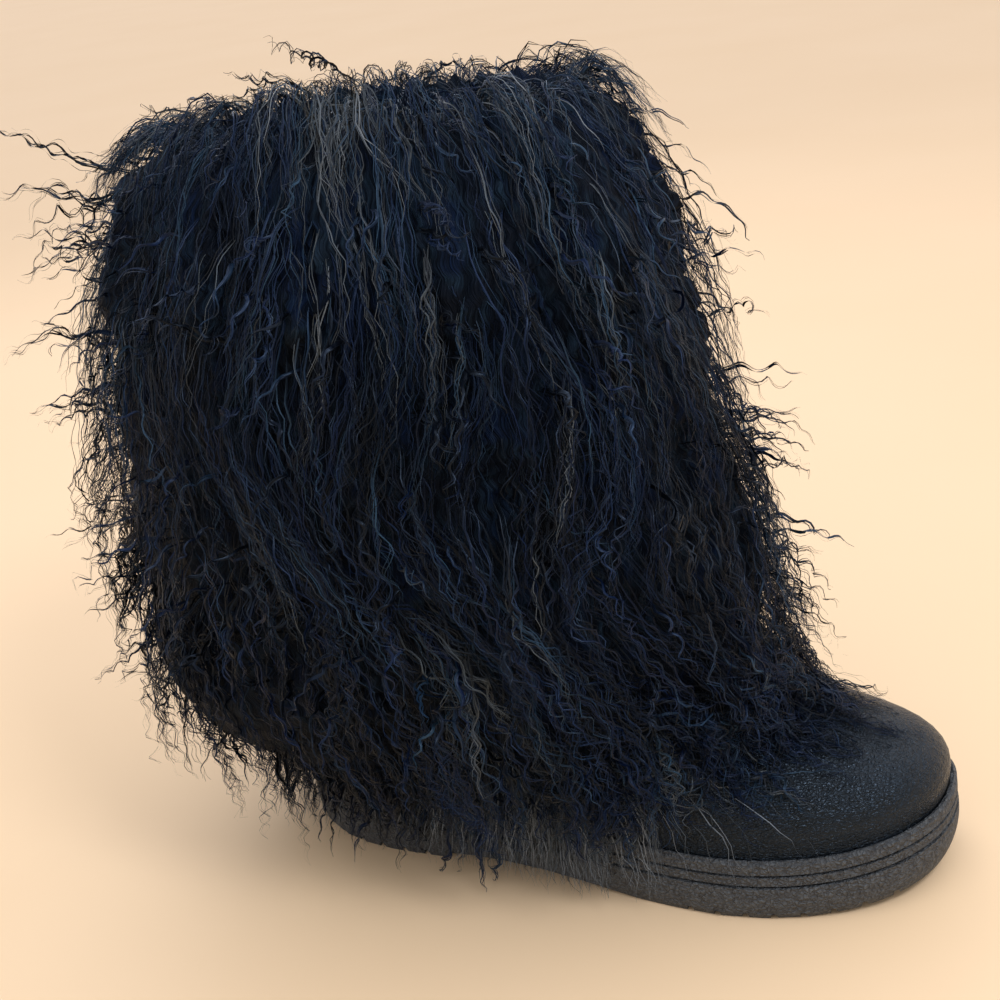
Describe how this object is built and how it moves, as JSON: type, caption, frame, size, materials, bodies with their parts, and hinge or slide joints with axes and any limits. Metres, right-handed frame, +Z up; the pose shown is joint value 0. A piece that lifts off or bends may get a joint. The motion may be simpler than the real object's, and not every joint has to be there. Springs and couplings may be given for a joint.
{
  "type": "winter boot",
  "caption": "Right winter boot: platform rubber sole, hollow hide upper open at the collar, and a deep coat of long curly fur from instep to collar.",
  "frame": {"origin": "on the floor, under the middle of the whole boot's box", "axes": "+X towards the toe, +Y towards the inner (medial) side, +Z up the shaft"},
  "size_m": [0.3458, 0.2456, 0.304],
  "materials": {
    "sole_rubber": "crackle-grained matte",
    "fleece": "short pile",
    "crackle_hide": "crackle-finished, low sheen",
    "curly_fur": "long wavy hair, soft sheen"
  },
  "bodies": {
    "root": {"outsole": "sole_rubber", "midsole": "sole_rubber", "welt": "sole_rubber", "insole": "fleece", "upper": "crackle_hide", "fur": "curly_fur"}
  },
  "joints": []
}
